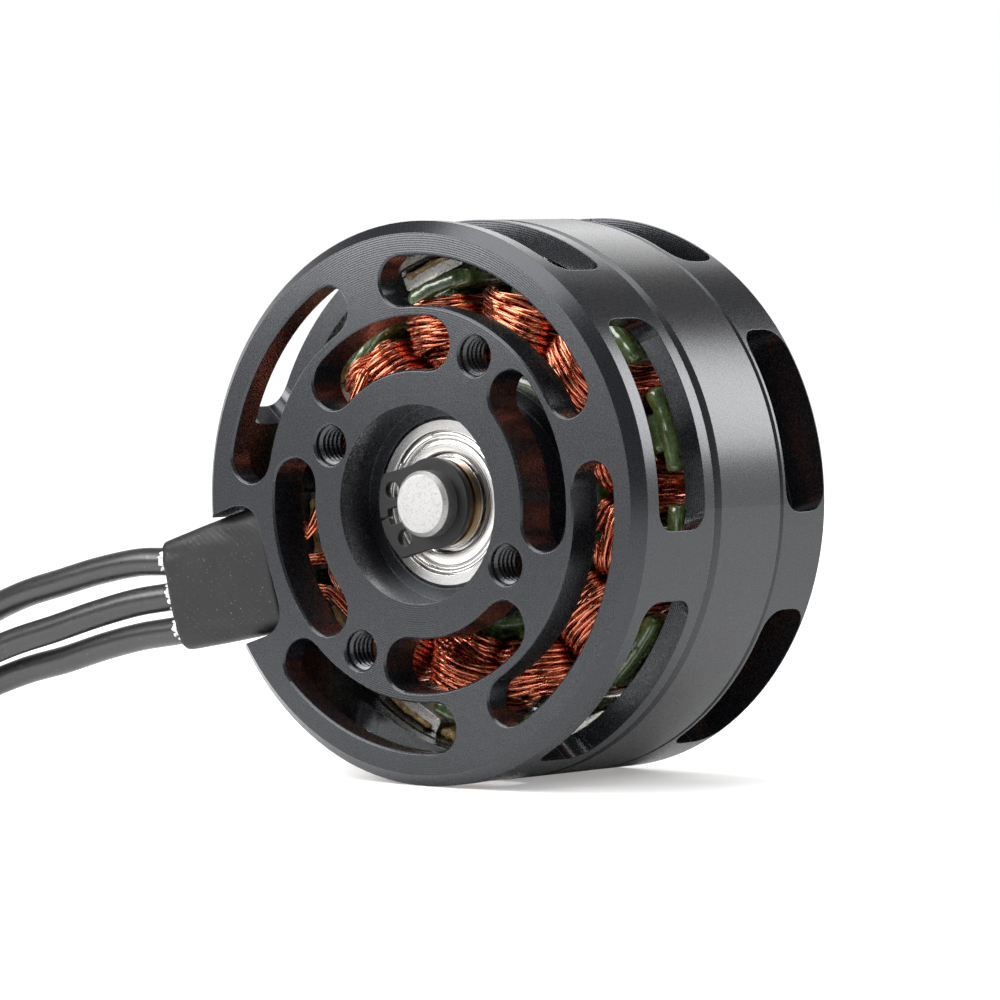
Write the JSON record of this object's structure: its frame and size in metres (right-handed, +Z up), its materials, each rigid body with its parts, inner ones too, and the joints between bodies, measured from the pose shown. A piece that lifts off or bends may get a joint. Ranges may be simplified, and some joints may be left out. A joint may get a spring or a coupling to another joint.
{
  "type": "brushless motor",
  "caption": "Flat outrunner brushless motor with a slotted mounting cup, a spinning bell with side windows, copper windings and silicone leads with bullet plugs.",
  "frame": {"origin": "centre of the mounting face, on the shaft axis", "axes": "-Y out of the mounting face along the shaft, +Y out of the back of the bell, +Z up as the motor lies on its side"},
  "size_m": [0.1541, 0.0269, 0.0424],
  "materials": {
    "anodised": "black anodised aluminium, satin",
    "flux_steel": "blackened steel, satin",
    "bearing_steel": "ground bearing steel",
    "shield_steel": "pressed steel",
    "ball_steel": "polished",
    "cage_brass": "pressed",
    "shaft_steel": "ground",
    "spring_steel": "black oxide",
    "brass": "turned",
    "core_steel": "laminated",
    "green_epoxy": "gloss epoxy coat",
    "enamelled_copper": "enamelled copper wire",
    "nickel": "nickel plated",
    "solder": "satin",
    "heat_shrink": "matte, fine ribs",
    "silicone": "matte silicone",
    "gold_plate": "gold plated"
  },
  "bodies": {
    "root": {"base_cup": "anodised", "front_outer_race": "bearing_steel", "front_shields": "shield_steel", "rear_outer_race": "bearing_steel", "rear_shields": "shield_steel", "stator_core": "core_steel", "stator_insulation": "green_epoxy", "winding_a": "enamelled_copper", "winding_b": "enamelled_copper", "winding_c": "enamelled_copper", "link_wires": "enamelled_copper", "phase_tails": "enamelled_copper", "solder_joints": "solder", "lead_sleeve": "heat_shrink", "upper_lead": "silicone", "middle_lead": "silicone", "lower_lead": "silicone", "upper_plug": "gold_plate", "middle_plug": "gold_plate", "lower_plug": "gold_plate"},
    "rotor": {"shaft": "shaft_steel", "front_inner_race": "bearing_steel", "rear_inner_race": "bearing_steel", "circlip": "spring_steel", "outer_washer": "brass", "inner_washer": "brass", "flux_ring": "flux_steel", "magnets": "nickel", "end_bell": "anodised"},
    "front_cage": {"front_cage": "cage_brass", "front_balls": "ball_steel"},
    "rear_cage": {"rear_cage": "cage_brass", "rear_balls": "ball_steel"}
  },
  "joints": [
    {"name": "rotor_spin", "type": "hinge", "parent": "root", "child": "rotor", "pos_m": [0, 0, 0], "axis": [0, 1, 0], "continuous": true},
    {"name": "front_cage_spin", "type": "hinge", "parent": "root", "child": "front_cage", "pos_m": [0, 0.00545, 0], "axis": [0, 1, 0], "continuous": true},
    {"name": "rear_cage_spin", "type": "hinge", "parent": "root", "child": "rear_cage", "pos_m": [0, 0.0165, 0], "axis": [0, 1, 0], "continuous": true}
  ],
  "couplings": [
    {"joint": "front_cage_spin", "follows": "rotor_spin", "ratio": 0.38889},
    {"joint": "rear_cage_spin", "follows": "rotor_spin", "ratio": 0.38889}
  ]
}
